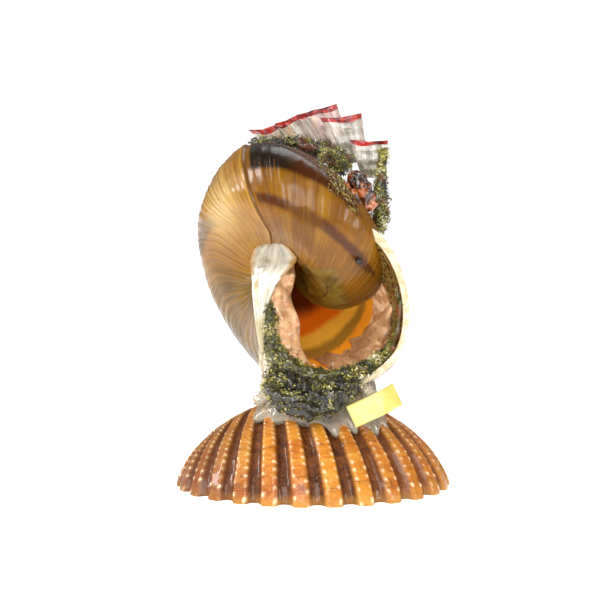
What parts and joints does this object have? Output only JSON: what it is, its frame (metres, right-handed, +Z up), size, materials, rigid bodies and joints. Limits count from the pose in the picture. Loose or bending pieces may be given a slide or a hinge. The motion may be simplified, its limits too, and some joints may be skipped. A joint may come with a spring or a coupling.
{
  "type": "shell-craft ornament of a snail shell on a cockle valve",
  "caption": "Shell-craft ornament: a land-snail shell stands mouth forward on a hollow ribbed cockle valve, held by clear glue and moss, with a scallop fragment behind its crown.",
  "frame": {"origin": "on the table under the middle of the cockle valve", "axes": "+Z up, the snail's mouth faces -Y, +X to the right of someone facing the mouth"},
  "size_m": [0.05, 0.0439, 0.0689],
  "materials": {
    "cockle": "varnished",
    "snail": "varnished",
    "scallop": "satin",
    "glue": "clear",
    "moss": "matt",
    "putty": "gloss",
    "resin": "gloss",
    "paper": "matt",
    "bead": "gloss"
  },
  "bodies": {
    "root": {"cockle_base": "cockle", "snail_shell": "snail", "scallop_crest": "scallop", "glue_foot": "glue", "putty_right": "putty", "putty_left": "putty", "putty_sill": "putty", "moss_inner_lip": "moss", "moss_collar": "moss", "moss_lip": "moss", "moss_crest": "moss", "moss_side": "moss", "resin_drops": "resin", "label": "paper", "bead": "bead"}
  },
  "joints": []
}
